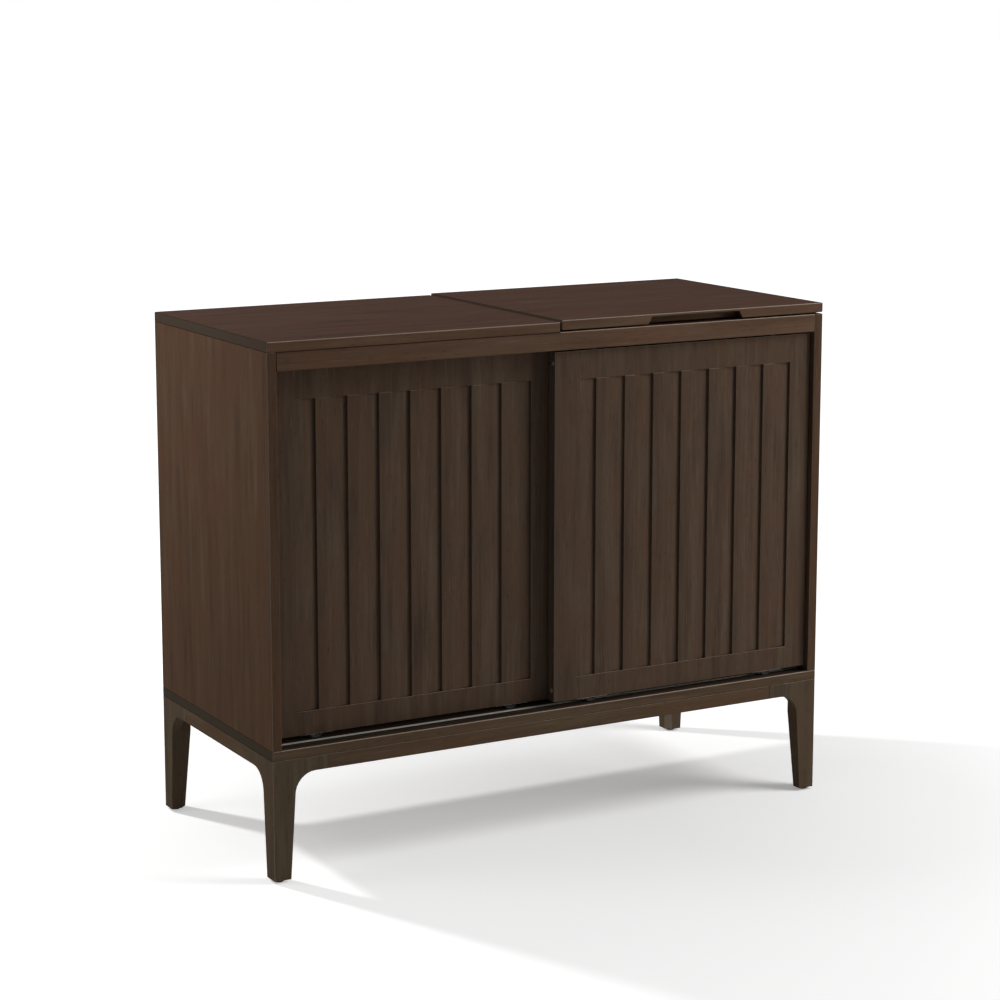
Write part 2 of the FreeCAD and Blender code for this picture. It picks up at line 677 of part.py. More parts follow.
def hinges():
    half = HINGE_LENGTH / 2
    middle = KNUCKLE_MIDDLE / 2
    outer = middle + KNUCKLE_GAP
    fixed_leaves = []
    lid_leaves = []
    pins = []
    fixed_screws = []
    lid_screws = []
    for x in HINGE_PLACES:
        fixed_top_z = TOP_UNDER + LEAF_T
        lid_low_z = LID_UNDER - LEAF_T
        pin_foot = V(x - half, HINGE_Y, HINGE_Z)
        tight = pin(HINGE_PIN_R, HINGE_LENGTH, pin_foot, AXIS_X)
        loose = rod(HINGE_PIN_R + RUN_FIT, HINGE_LENGTH, pin_foot, AXIS_X)
        fixed_leaf = hinge_leaf(x, TOP_UNDER, fixed_top_z, [(-half, -outer), (outer, half)], tight)
        lid_leaf = hinge_leaf(x, lid_low_z, LID_UNDER, [(-middle, middle)], loose)
        for side in (-1, 0, 1):
            place = V(x + side * HINGE_LENGTH / 3, BACK - LEAF_W / 2 - abs(side) * LEAF_W / 6, 0)
            fixed_screws.append(countersunk(place + V(0, 0, fixed_top_z), -AXIS_Z, SCREW_LENGTH,
                                            SCREW_R, SCREW_HEAD_R))
            lid_screws.append(countersunk(place + V(0, 0, lid_low_z), AXIS_Z, SCREW_LENGTH,
                                          SCREW_R, SCREW_HEAD_R))
        fixed_leaves.append(fixed_leaf.cut(fixed_screws[-3:]))
        lid_leaves.append(lid_leaf.cut(lid_screws[-3:]))
        pins.append(tight)
    return {
        "fixed_hinge_leaves": fixed_leaves,
        "lid_hinge_leaves": lid_leaves,
        "hinge_pins": pins,
        "fixed_hinge_screws": fixed_screws,
        "lid_hinge_screws": lid_screws,
    }


# The whole stand

def stand():
    pieces = {}
    rebate = back_rebate(INNER_LEFT - BACK_REBATE, INNER_RIGHT + BACK_REBATE)
    pieces["left_side_panel"] = side_panel(LEFT, INNER_LEFT, rebate)
    pieces["right_side_panel"] = side_panel(INNER_RIGHT, RIGHT, rebate)
    pieces["base_panel"] = base_panel(rebate)
    pieces["fixed_top"] = fixed_top()
    pieces["front_top_rail"] = front_top_rail()
    pieces["rear_top_rail"] = rear_rail_space().cut(rebate)
    pieces["centre_divider"] = centre_divider()
    pieces["left_back_panel"] = back_panel(INNER_LEFT - BACK_REBATE, 0)
    pieces["right_back_panel"] = back_panel(0, INNER_RIGHT + BACK_REBATE)
    pieces["record_shelf"] = shelf(INNER_LEFT, DIVIDER_LEFT)
    pieces["turntable_shelf"] = shelf(DIVIDER_RIGHT, INNER_RIGHT)
    for corner, shape in four_corners(leg()).items():
        pieces[corner + "_leg"] = shape
    pieces.update(aprons())

    groups = {
        "shelf_pins": shelf_pins(),
        "carcass_dowels": carcass_dowels(),
        "apron_dowels": apron_dowels(),
        "base_screws": base_screws(),
        "top_screws": top_screws(),
        "back_screws": back_screws(),
    }
    groups.update(hinges())
    seats = spare_pin_holes()
    for name in groups:
        if name != "lid_hinge_screws":
            seats += groups[name]
    for name in pieces:
        pieces[name] = fitted(pieces[name], seats)
    pieces["lid"] = fitted(lid(), groups["lid_hinge_screws"])

    groups["foot_glides"] = foot_glides()
    groups["lid_bumpers"] = lid_bumpers()
    groups["upper_guides"] = upper_guides()
    pieces["lower_track"] = lower_track()
    doors = {
        "front_door": door(DOOR_RIGHT_STOP - DOOR_W, FRONT_DOOR_Y),
        "rear_door": door(DOOR_LEFT_STOP, REAR_DOOR_Y),
    }
    for name, parts in doors.items():
        for part, shape in parts.items():
            pieces[name + "_" + part] = shape
    pieces.update(groups)
    return pieces


os.makedirs("parts", exist_ok=True)
for node, shape in stand().items():
    if isinstance(shape, list):
        shape = Part.makeCompound(shape)
    shape.exportStep("parts/" + node + ".step")
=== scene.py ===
import math

import bmesh
import bpy
from bpy.props import FloatProperty, FloatVectorProperty, IntProperty, PointerProperty
from bpy.types import Operator, Panel, PropertyGroup
from mathutils import Matrix, Vector


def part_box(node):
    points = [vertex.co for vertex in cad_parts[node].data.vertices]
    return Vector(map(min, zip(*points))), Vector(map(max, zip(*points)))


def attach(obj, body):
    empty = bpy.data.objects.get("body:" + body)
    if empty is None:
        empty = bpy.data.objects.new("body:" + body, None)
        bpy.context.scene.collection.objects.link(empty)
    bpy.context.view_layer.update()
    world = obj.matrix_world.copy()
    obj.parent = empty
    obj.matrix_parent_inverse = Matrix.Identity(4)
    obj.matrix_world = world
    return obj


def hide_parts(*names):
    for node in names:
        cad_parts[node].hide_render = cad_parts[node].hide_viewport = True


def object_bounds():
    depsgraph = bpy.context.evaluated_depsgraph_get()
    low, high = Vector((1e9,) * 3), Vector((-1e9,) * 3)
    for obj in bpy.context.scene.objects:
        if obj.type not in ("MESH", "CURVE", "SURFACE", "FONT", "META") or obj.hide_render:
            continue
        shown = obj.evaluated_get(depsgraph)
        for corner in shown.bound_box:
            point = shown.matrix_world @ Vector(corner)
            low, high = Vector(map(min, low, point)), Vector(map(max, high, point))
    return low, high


bl_info = {
    "name": "Record player stand",
    "version": (1, 0, 0),
    "blender": (4, 5, 0),
    "location": "View3D > Sidebar > Stand",
    "description": "Dresses the packed record player stand with veneer, hardware, light and a camera",
    "category": "Object",
}

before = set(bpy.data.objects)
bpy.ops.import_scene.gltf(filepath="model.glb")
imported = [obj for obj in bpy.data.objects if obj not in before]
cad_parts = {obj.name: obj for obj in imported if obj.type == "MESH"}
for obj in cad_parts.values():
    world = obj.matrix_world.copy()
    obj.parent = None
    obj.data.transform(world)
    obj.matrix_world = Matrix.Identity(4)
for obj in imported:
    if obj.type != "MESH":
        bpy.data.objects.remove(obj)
CAD_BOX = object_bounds()

DOORS = ("front_door", "rear_door")
# Boards by the way their grain runs
UPRIGHT_BOARDS = (
    "left_side_panel", "right_side_panel", "centre_divider",
    "front_left_leg", "front_right_leg", "rear_left_leg", "rear_right_leg",
    *(door + board for door in DOORS
      for board in ("_left_stile", "_right_stile", "_fluted_panel", "_top_rail", "_bottom_rail")),
)
CROSSWISE_BOARDS = (
    "fixed_top", "lid", "base_panel", "front_top_rail", "rear_top_rail",
    "record_shelf", "turntable_shelf", "front_apron", "rear_apron",
)
DEPTHWISE_BOARDS = ("left_apron", "right_apron")
UP = Vector((0, 0, 1))

# Jump through the grain from one sheet of veneer to the next
GRAIN_STEP = (0.37, 0.53, 0.71)
# Sideways swing of the grain along a board
GRAIN_SWING = 0.02
# An edge this near past a joint is part of it
SEAM_REACH = 0.002
# Between a turning piece and its pin
RUN_CLEARANCE = 0.00005
# Radius to which light sees the hardware's edges broken
SMALL_ROUND = 0.0003
# Corners nearer than this are one
WELD = 1e-6
# Faces that meet at more than this keep a hard edge
SHARP_ANGLE = math.radians(40.0)

# Camera, as fitted to the photograph
CAMERA_PLACE = (-1.8274, -3.2928, 1.1841)
CAMERA_PITCH = math.radians(9.80)
CAMERA_YAW = math.radians(29.21)
CAMERA_SHIFT = -0.05
# Floor, and where its fade to white begins and ends
FLOOR_HALF = 60.0
FADE_CENTRE = (0.4, -0.3, 0.0)
FADE_START = 0.25
FADE_END = 3.1


def linear(code):
    """Scene-linear colour of an sRGB hex code."""
    channels = [int(code[place:place + 2], 16) / 255 for place in (1, 3, 5)]
    return tuple(c / 12.92 if c <= 0.04045 else ((c + 0.055) / 1.055) ** 2.4 for c in channels)


def opaque(colour):
    """A colour property as the four numbers that a node socket takes."""
    return (*colour, 1.0)


class StandFinish(PropertyGroup):
    """Colours and pattern sizes of the stand's surfaces."""

    stain_dark: FloatVectorProperty(
        name="Dark stain", description="Stained veneer between the growth lines",
        subtype="COLOR", size=3, default=linear("#42322a"))
    stain_light: FloatVectorProperty(
        name="Light stain", description="Stained veneer on the growth lines",
        subtype="COLOR", size=3, default=linear("#59483b"))
    stain_warm: FloatVectorProperty(
        name="Warm stain", description="Red-brown clouds where the stain took deeper",
        subtype="COLOR", size=3, default=linear("#523d31"))
    pore: FloatVectorProperty(
        name="Pores", description="Open pores filled with dark stain",
        subtype="COLOR", size=3, default=linear("#281d17"))
    fleck: FloatVectorProperty(
        name="Flecks", description="Pale flecks along the grain",
        subtype="COLOR", size=3, default=linear("#735c49"))
    # Painted highlight on the upper and left front edges
    edge_highlight: FloatVectorProperty(
        name="Arrises", description="Upper and left front edges that hands rubbed pale",
        subtype="COLOR", size=3, default=linear("#a8998a"))
    # End grain: darker than the faces, and greyed as a painted sheen
    end_grain_and_sheen: FloatVectorProperty(
        name="End grain", description="Ends of the boards, which drank more of the grey stain",
        subtype="COLOR", size=3, default=linear("#38312a"))
    streak_width: FloatProperty(
        name="Streak width", description="Width of a growth line across the grain",
        unit="LENGTH", default=0.0032)
    pore_width: FloatProperty(
        name="Pore width", description="Width of a pore, drawn coarser than real so that it shows",
        unit="LENGTH", default=0.0012)
    edge_round: FloatProperty(
        name="Edge rounding", description="Radius to which light sees the boards' edges sanded",
        unit="LENGTH", default=0.0012)
    # Painted shade: reach of the darkening painted into the inner corners
    corner_shade_reach: FloatProperty(
        name="Hollow reach", description="Distance over which stain gathered in the inner corners",
        unit="LENGTH", default=0.003)
    frame_tint: FloatVectorProperty(
        name="Case tint", description="Tint of the case's boards over the stain",
        size=3, default=(0.99, 0.94, 0.85))
    top_tint: FloatVectorProperty(
        name="Top tint", description="Tint of the top, the lid and the rail below them over the stain",
        size=3, default=(1.28, 1.24, 1.18))
    # Painted shade: darkening of the flat upper faces
    upper_face_shade: FloatVectorProperty(
        name="Upper tint", description="Tint of the flat upper faces, which hold more stain than the edges",
        size=3, default=(0.7, 0.66, 0.72))
    door_tint: FloatVectorProperty(
        name="Door tint", description="Tint of the doors over the stain", size=3, default=(0.98, 1.06, 1.07))
    leg_tint: FloatVectorProperty(
        name="Leg tint", description="Tint of the legs over the stain", size=3, default=(1.07, 1.27, 1.22))
    base_tint: FloatVectorProperty(
        name="Base tint", description="Tint of the base and the aprons over the stain",
        size=3, default=(1.12, 1.19, 1.1))


class StandHardware(PropertyGroup):
    """Colours and small sizes of the hardware."""

    zinc: FloatVectorProperty(
        name="Zinc", description="Plated screws, hinges and roller cups",
        subtype="COLOR", size=3, default=linear("#b4b7ba"))
    bronze: FloatVectorProperty(
        name="Bronze", description="Anodised track", subtype="COLOR", size=3, default=linear("#332a22"))
    # Painted highlight: pale colour along the track's middle rib
    rib_highlight: FloatVectorProperty(
        name="Bare metal", description="Aluminium of the track where it is worn bare",
        subtype="COLOR", size=3, default=linear("#b9b5ad"))
    wheel: FloatVectorProperty(
        name="Wheel", description="Moulded nylon of the wheels' hubs",
        subtype="COLOR", size=3, default=linear("#d8d4c8"))
    tyre: FloatVectorProperty(
        name="Tyre", description="Moulded rubber of the wheels' treads",
        subtype="COLOR", size=3, default=linear("#2a2624"))
    guide: FloatVectorProperty(
        name="Guide", description="Moulded nylon of the guides and their pins",
        subtype="COLOR", size=3, default=linear("#2b221c"))
    bumper: FloatVectorProperty(
        name="Bumper", description="Soft clear bumpers", subtype="COLOR", size=3, default=linear("#7d6f64"))
    glide: FloatVectorProperty(
        name="Glide", description="Moulded glides under the legs",
        subtype="COLOR", size=3, default=linear("#171513"))
    beech: FloatVectorProperty(
        name="Beech", description="Unstained dowels", subtype="COLOR", size=3, default=linear("#b98f63"))
    back: FloatVectorProperty(
        name="Back", description="Painted fibreboard of the backs",
        subtype="COLOR", size=3, default=linear("#41332a"))
    round_segments: IntProperty(
        name="Round segments", description="Steps round each turned piece", default=32, min=16)
    thread_pitch: FloatProperty(
        name="Thread pitch", description="Distance between the screws' thread crests",
        unit="LENGTH", default=0.0012)
    recess_share: FloatProperty(
        name="Recess reach", description="Reach of the cross recess as a share of a screw head's radius",
        subtype="FACTOR", default=0.62)
    leaf_corner: FloatProperty(
        name="Leaf corner", description="Corner radius of the hinge leaves", unit="LENGTH", default=0.003)


class StandStage(PropertyGroup):
    """Floor, light and camera."""

    floor: FloatVectorProperty(
        name="Floor", description="Colour of the plain pale floor",
        subtype="COLOR", size=3, default=linear("#f8f8f8"))
    lift: FloatProperty(
        name="Floor lift", description="Plain white added to the floor near the stand for the camera",
        default=0.274)
    ambient: FloatProperty(
        name="Ambient", description="Strength of the even light from all round", default=0.15)
    key: FloatProperty(
        name="Key lamp", description="Power of the small lamp behind on the left", unit="POWER", default=30.5)
    low: FloatProperty(
        name="Low softbox", description="Power of the low softbox on the right", unit="POWER", default=26.0)
    high: FloatProperty(
        name="High softbox", description="Power of the high softbox on the right", unit="POWER", default=28.0)
    left: FloatProperty(
        name="Left softbox", description="Power of the softbox on the left", unit="POWER", default=2.0)
    side: FloatProperty(
        name="Side lamp", description="Power of the narrow lamp on the upper left side",
        unit="POWER", default=0.37)
    lens: FloatProperty(
        name="Lens", description="Focal length on a 36 mm sensor, in millimetres", default=93.06)


def add(tree, kind, inputs=None, **settings):
    """Add a node, set its properties, and fill or link its inputs."""
    node = tree.nodes.new("ShaderNode" + kind)
    for name, value in settings.items():
        setattr(node, name, value)
    for socket, value in (inputs or {}).items():
        if isinstance(value, bpy.types.NodeSocket):
            tree.links.new(value, node.inputs[socket])
        else:
            node.inputs[socket].default_value = value
    return node


def blank_material(name):
    """A material with an empty node tree."""
    material = bpy.data.materials.new(name)
    material.use_nodes = True
    material.node_tree.nodes.clear()
    return material


def stained_veneer(finish, name, grain):
    """Dark stained veneer under matt lacquer: straight growth lines, short pores, pale flecks, cloudy stain."""
    material = blank_material(name)
    tree = material.node_tree

    def pattern(place, across, length, detail):
        """Noise of a given size in metres across and along the grain."""
        scale = [1 / across] * 3
        scale[grain] = 1 / length
        sized = add(tree, "VectorMath", {0: place, 1: scale}, operation="MULTIPLY").outputs["Vector"]
        return add(tree, "TexNoise", {"Vector": sized, "Scale": 1.0, "Detail": detail,
                                      "Roughness": 0.55}).outputs["Fac"]

    # Each board has its own stretch of grain
    coords = add(tree, "TexCoord").outputs["Object"]
    shift = add(tree, "Attribute", attribute_type="OBJECT", attribute_name="board_shift").outputs["Vector"]
    board = add(tree, "VectorMath", {0: coords, 1: shift}, operation="ADD").outputs["Vector"]
    bend = pattern(board, across=0.11, length=0.5, detail=1.0)
    swing = [0.0 if axis == grain else GRAIN_SWING for axis in range(3)]
    sway = add(tree, "VectorMath", {0: bend, 1: swing, 2: board}, operation="MULTIPLY_ADD").outputs["Vector"]
    width = finish.streak_width
    pore = opaque(finish.pore)
    figure = pattern(sway, across=4.5 * width, length=0.18, detail=2.0)
    streak = pattern(sway, across=width, length=0.2, detail=3.0)
    fleck = pattern(sway, across=0.6 * width, length=0.045, detail=1.0)
    pores = pattern(sway, across=finish.pore_width, length=0.016, detail=1.0)
    cloud = pattern(board, across=0.05, length=0.09, detail=2.0)

    # Which way the surface faces on the board itself, with the edges sanded round
    soft = add(tree, "Bevel", {"Radius": finish.edge_round}, samples=4).outputs["Normal"]
    facing = add(tree, "VectorTransform", {"Vector": soft}, vector_type="NORMAL", convert_from="WORLD",
                 convert_to="OBJECT").outputs["Vector"]
    facing = add(tree, "SeparateXYZ", {0: facing}).outputs

    # Stain, from the broad lines to the pores
    lines = add(tree, "Math", {0: streak, 1: 0.55, 2: figure}, operation="MULTIPLY_ADD").outputs["Value"]
    tone = add(tree, "MapRange", {"Value": lines, "From Min": 0.45, "From Max": 1.1}).outputs["Result"]
    stained = add(tree, "Mix", {0: tone, 6: opaque(finish.stain_dark), 7: opaque(finish.stain_light)},
                  data_type="RGBA").outputs[2]
    warmth = add(tree, "MapRange", {"Value": cloud, "From Min": 0.42, "From Max": 0.66,
                                    "To Max": 0.8}).outputs["Result"]
    clouded = add(tree, "Mix", {0: warmth, 6: stained, 7: opaque(finish.stain_warm)},
                  data_type="RGBA").outputs[2]
    fleck_share = add(tree, "MapRange", {"Value": fleck, "From Min": 0.62, "From Max": 0.8,
                                         "To Max": 0.3}).outputs["Result"]
    flecked = add(tree, "Mix", {0: fleck_share, 6: clouded, 7: opaque(finish.fleck)},
                  data_type="RGBA").outputs[2]
    pore_share = add(tree, "MapRange", {"Value": pores, "From Min": 0.36, "From Max": 0.24,
                                        "To Max": 0.45}).outputs["Result"]
    pored = add(tree, "Mix", {0: pore_share, 6: flecked, 7: pore}, data_type="RGBA").outputs[2]

    # Ends of the boards, whose end grain is darker and greyed as a painted sheen
    endwise = add(tree, "Math", {0: facing[grain]}, operation="ABSOLUTE").outputs["Value"]
    if grain != 2:
        # A level board's end meets its neighbour in a dark joint line
        seam = add(tree, "MapRange", {"Value": endwise, "From Min": 0.03, "From Max": 0.12,
                                      "To Max": 0.8}).outputs["Result"]
        pored = add(tree, "Mix", {0: seam, 6: pored, 7: pore}, data_type="RGBA").outputs[2]
    end_share = add(tree, "MapRange", {"Value": endwise, "From Min": 0.8, "From Max": 0.95,
                                       "To Max": 0.85}).outputs["Result"]
    ended = add(tree, "Mix", {0: end_share, 6: pored, 7: opaque(finish.end_grain_and_sheen)}, data_type="RGBA").outputs[2]

    # Painted shade: the inner corners are darkened toward the pore colour by ambient occlusion, where shade
    # falls
    corner_occlusion = add(tree, "AmbientOcclusion", {"Distance": finish.corner_shade_reach}, samples=8,
                 only_local=True).outputs["AO"]
    corner_shade = add(tree, "MapRange", {"Value": corner_occlusion, "From Min": 0.8, "From Max": 0.5,
                                    "To Max": 0.97}).outputs["Result"]
    corner_shaded = add(tree, "Mix", {0: corner_shade, 6: ended, 7: pore}, data_type="RGBA").outputs[2]

    # Tint of the set that the board belongs to, and painted shade that darkens the flat upper faces
    tint = add(tree, "Attribute", attribute_type="OBJECT", attribute_name="board_tint").outputs["Vector"]
    tinted = add(tree, "VectorMath", {0: corner_shaded, 1: tint}, operation="MULTIPLY").outputs["Vector"]
    level = add(tree, "MapRange", {"Value": facing["Z"], "From Min": 0.8, "From Max": 0.95}).outputs["Result"]
    upper = add(tree, "Mix", {0: level, 6: (1, 1, 1, 1), 7: opaque(finish.upper_face_shade)},
                data_type="RGBA").outputs[2]
    shaded = add(tree, "VectorMath", {0: tinted, 1: upper}, operation="MULTIPLY").outputs["Vector"]

    # Painted highlight: the front edges are lightened at their upper and left sides
    forward = add(tree, "MapRange", {"Value": facing["Y"], "From Min": -0.3,
                                     "From Max": -0.55}).outputs["Result"]
    upward = add(tree, "MapRange", {"Value": facing["Z"], "From Min": 0.3, "From Max": 0.55}).outputs["Result"]
    leftward = add(tree, "MapRange", {"Value": facing["X"], "From Min": -0.3, "From Max": -0.55,
                                      "To Max": 0.4}).outputs["Result"]
    raised = add(tree, "Math", {0: upward, 1: leftward}, operation="MAXIMUM").outputs["Value"]
    painted_highlight = add(tree, "Math", {0: forward, 1: raised}, operation="MULTIPLY").outputs["Value"]
    # An edge against another board is a dark joint line
    across = add(tree, "SeparateXYZ", {0: coords}).outputs["X"]
    covered_to = add(tree, "Attribute", attribute_type="OBJECT", attribute_name="covered_to").outputs["Fac"]
    covered = add(tree, "Math", {0: across, 1: covered_to}, operation="LESS_THAN").outputs["Value"]
    edge = add(tree, "Mix", {0: covered, 6: opaque(finish.edge_highlight), 7: pore}, data_type="RGBA").outputs[2]
    # Painted highlight on those edges, or a dark joint line where an edge is covered
    wear_and_highlight = add(tree, "Mix", {0: painted_highlight, 6: shaded, 7: edge}, data_type="RGBA").outputs[2]

    # The growth lines and pores stand in low relief
    sheen = add(tree, "MapRange", {"Value": streak, "From Min": 0.3, "From Max": 0.7,
                                   "To Min": 0.85, "To Max": 0.75}).outputs["Result"]
    height = add(tree, "Math", {0: pore_share, 1: -1.0, 2: streak}, operation="MULTIPLY_ADD").outputs["Value"]
    relief = add(tree, "Bump", {"Strength": 0.35, "Distance": 0.0002, "Height": height,
                                "Normal": soft}).outputs["Normal"]
    shader = add(tree, "BsdfPrincipled", {"Base Color": wear_and_highlight, "Roughness": sheen, "Normal": relief,
                                          "Specular IOR Level": 0.01})
    add(tree, "OutputMaterial", {"Surface": shader.outputs["BSDF"]})
    return material


def mottled(name, colour, cell, gloss, depth, drift=0.25, wear_and_highlight=None, **fixed):
    """A surface whose tone, gloss and relief wander over cells of a given size in metres along X, Y and Z."""
    if name in bpy.data.materials:
        return bpy.data.materials[name]
    material = blank_material(name)
    tree = material.node_tree
    coords = add(tree, "TexCoord").outputs["Object"]
    sized = add(tree, "VectorMath", {0: coords, 1: [1 / length for length in cell]},
                operation="MULTIPLY").outputs["Vector"]
    fine = add(tree, "TexNoise", {"Vector": sized, "Scale": 1.0, "Detail": 3.0}).outputs["Fac"]
    broad = add(tree, "TexNoise", {"Vector": sized, "Scale": 0.17, "Detail": 2.0}).outputs["Fac"]
    both = add(tree, "Math", {0: fine, 1: broad}, operation="ADD").outputs["Value"]
    share = add(tree, "MapRange", {"Value": both, "From Min": 0.7, "From Max": 1.3}).outputs["Result"]
    shade = add(tree, "Mix", {0: share, 6: opaque([channel * (1 - drift) for channel in colour]),
                              7: opaque([min(1.0, channel * (1 + drift)) for channel in colour])},
                data_type="RGBA").outputs[2]
    soft = add(tree, "Bevel", {"Radius": SMALL_ROUND}, samples=4).outputs["Normal"]
    if wear_and_highlight:
        flat = add(tree, "NewGeometry").outputs["Normal"]
        turn = add(tree, "VectorMath", {0: soft, 1: flat}, operation="DOT_PRODUCT").outputs["Value"]
        edge = add(tree, "MapRange", {"Value": turn, "From Min": 0.985, "From Max": 0.85,
                                      "To Max": 0.6}).outputs["Result"]
        shade = add(tree, "Mix", {0: edge, 6: shade, 7: opaque(wear_and_highlight)}, data_type="RGBA").outputs[2]
    rough = add(tree, "MapRange", {"Value": fine, "From Min": 0.3, "From Max": 0.7,
                                   "To Min": gloss[0], "To Max": gloss[1]}).outputs["Result"]
    relief = add(tree, "Bump", {"Strength": 0.5, "Distance": depth, "Height": fine,
                                "Normal": soft}).outputs["Normal"]
    shader = add(tree, "BsdfPrincipled", {"Base Color": shade, "Roughness": rough, "Normal": relief, **fixed})
    add(tree, "OutputMaterial", {"Surface": shader.outputs["BSDF"]})
    return material


def anodised_track(hardware):
    """Dyed and sealed anodising: matt and dark, with lines along the length and a painted highlight drawn pale
    along the middle rib.
    """
    material = blank_material("bronze_anodised_aluminium")
    tree = material.node_tree
    low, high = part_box("lower_track")
    middle = (low[1] + high[1]) / 2
    coords = add(tree, "TexCoord").outputs["Object"]
    # The lines that the die leaves are finer than this, and are drawn coarser so that they show
    length, width = 0.3, 0.003
    sized = add(tree, "VectorMath", {0: coords, 1: (1 / length, 1 / width, 1 / width)},
                operation="MULTIPLY").outputs["Vector"]
    drawn = add(tree, "TexNoise", {"Vector": sized, "Scale": 1.0, "Detail": 2.0}).outputs["Fac"]
    share = add(tree, "MapRange", {"Value": drawn, "From Min": 0.35, "From Max": 0.65}).outputs["Result"]
    film = add(tree, "Mix", {0: share, 6: opaque([0.75 * channel for channel in hardware.bronze]),
                             7: opaque([1.25 * channel for channel in hardware.bronze])},
               data_type="RGBA").outputs[2]
    # Painted highlight: the middle rib is drawn pale, and smoother
    across = add(tree, "SeparateXYZ", {0: coords}).outputs["Y"]
    off = add(tree, "Math", {0: across, 1: middle}, operation="SUBTRACT").outputs["Value"]
    near = add(tree, "Math", {0: off}, operation="ABSOLUTE").outputs["Value"]
    rib_half = 0.001
    rib_highlight = add(tree, "MapRange", {"Value": near, "From Min": 1.2 * rib_half,
                                  "From Max": 0.8 * rib_half}).outputs["Result"]
    painted_highlight = add(tree, "Mix", {0: rib_highlight, 6: film, 7: opaque(hardware.rib_highlight)}, data_type="RGBA").outputs[2]
    rough = add(tree, "MapRange", {"Value": rib_highlight, "To Min": 0.55, "To Max": 0.35}).outputs["Result"]
    soft = add(tree, "Bevel", {"Radius": SMALL_ROUND}, samples=4).outputs["Normal"]
    relief = add(tree, "Bump", {"Strength": 0.2, "Distance": 0.00002, "Height": drawn,
                                "Normal": soft}).outputs["Normal"]
    shader = add(tree, "BsdfPrincipled", {"Base Color": painted_highlight, "Roughness": rough, "Normal": relief,
                                          "Specular IOR Level": 0.05})
    add(tree, "OutputMaterial", {"Surface": shader.outputs["BSDF"]})
    return material


def zinc_steel(hardware):
    """Zinc plate: bright, with cloudy spangle and edges polished by handling."""
    return mottled("zinc_plated_steel", hardware.zinc, cell=[0.0014] * 3, gloss=(0.26, 0.42), depth=0.00002,
                   drift=0.12, wear_and_highlight=linear("#dfe1e2"), Metallic=1.0)


def nylon_guide(hardware):
    """Dark moulded nylon: matt, with a fine spark-eroded grain."""
    return mottled("dark_moulded_nylon", hardware.guide, cell=[0.0011] * 3, gloss=(0.48, 0.62), depth=0.00004)


def clear_bumper(hardware):
    """Clear soft polyurethane: glassy dome that lets some light through."""
    return mottled("clear_polyurethane", hardware.bumper, cell=[0.004] * 3, gloss=(0.12, 0.22), depth=0.00001,
                   drift=0.08, **{"Transmission Weight": 0.45})


def dress(node, material):
    """Give a CAD node one material."""
    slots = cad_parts[node].data.materials
    slots.clear()
    slots.append(material)


def solids(node):
    """The corners of each separate solid of a CAD node, as lists of points in a settled order."""
    bm = bmesh.new()
    bm.from_mesh(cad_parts[node].data)
    bmesh.ops.remove_doubles(bm, verts=bm.verts, dist=WELD)
    found = []
    seen = set()
    for start in bm.verts:
        if start in seen:
            continue
        seen.add(start)
        reached = [start]
        for vert in reached:
            for edge in vert.link_edges:
                other = edge.other_vert(vert)
                if other not in seen:
                    seen.add(other)
                    reached.append(other)
        found.append([vert.co.copy() for vert in reached])
    bm.free()
    return found


def corners(points):
    """Lowest and highest corner of some points."""
    low = Vector(min(point[axis] for point in points) for axis in range(3))
    high = Vector(max(point[axis] for point in points) for axis in range(3))
    return low, high


def turned(profile, segments):
    """A bmesh turned about Z from a profile of (radius, height) pairs."""
    bm = bmesh.new()
    line = [bm.verts.new((radius, 0.0, height)) for radius, height in profile]
    edges = [bm.edges.new(pair) for pair in zip(line, line[1:])]
    bmesh.ops.spin(bm, geom=line + edges, cent=(0, 0, 0), axis=UP, angle=2 * math.pi, steps=segments,
                   use_merge=True)
    bmesh.ops.remove_doubles(bm, verts=bm.verts, dist=WELD)
    bmesh.ops.recalc_face_normals(bm, faces=bm.faces)
    return bm


def slab(low, high, corner, ease, upright=2):
    """A bmesh of a flat bar between two corners, with round corners about one axis and eased edges."""
    bm = bmesh.new()
    bmesh.ops.create_cube(bm, size=1.0)
    bmesh.ops.scale(bm, vec=high - low, verts=bm.verts)
    bmesh.ops.translate(bm, vec=(low + high) / 2, verts=bm.verts)
    along = [edge for edge in bm.edges
             if abs((edge.verts[0].co - edge.verts[1].co)[upright]) > 0.99 * (high - low)[upright]]
    bmesh.ops.bevel(bm, geom=along, offset=corner, segments=6, profile=0.5, affect="EDGES", material=-1)
    sharp = [edge for edge in bm.edges if edge.calc_face_angle(0.0) > 1.0]
    bmesh.ops.bevel(bm, geom=sharp, offset=ease, segments=2, profile=0.5, affect="EDGES", material=-1)
    bmesh.ops.recalc_face_normals(bm, faces=bm.faces)
    return bm


def gather(whole, part, place=(0, 0, 0), direction=UP):
    """Stand a part made along +Z at a place, along a direction, and add it to a whole."""
    turn = UP.rotation_difference(Vector(direction)).to_matrix().to_4x4()
    bmesh.ops.transform(part, matrix=Matrix.Translation(place) @ turn, verts=part.verts)
    mesh = bpy.data.meshes.new("part")
    part.to_mesh(mesh)
    part.free()
    whole.from_mesh(mesh)
    bpy.data.meshes.remove(mesh)


def made_piece(name, bm, *materials):
    """An object made from a bmesh, with its materials in order."""
    mesh = bpy.data.meshes.new(name)
    bm.to_mesh(mesh)
    bm.free()
    for material in materials:
        mesh.materials.append(material)
    piece = bpy.data.objects.new(name, mesh)
    bpy.context.scene.collection.objects.link(piece)
    return piece


def mount(node, bm, body, slot, *materials):
    """Put a finished piece in the place of a CAD node."""
    piece = made_piece(node + "_detail", bm, *materials)
    piece.data.shade_smooth()
    piece.data.set_sharp_from_angle(angle=SHARP_ANGLE)
    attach(piece, body)
    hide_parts(node)


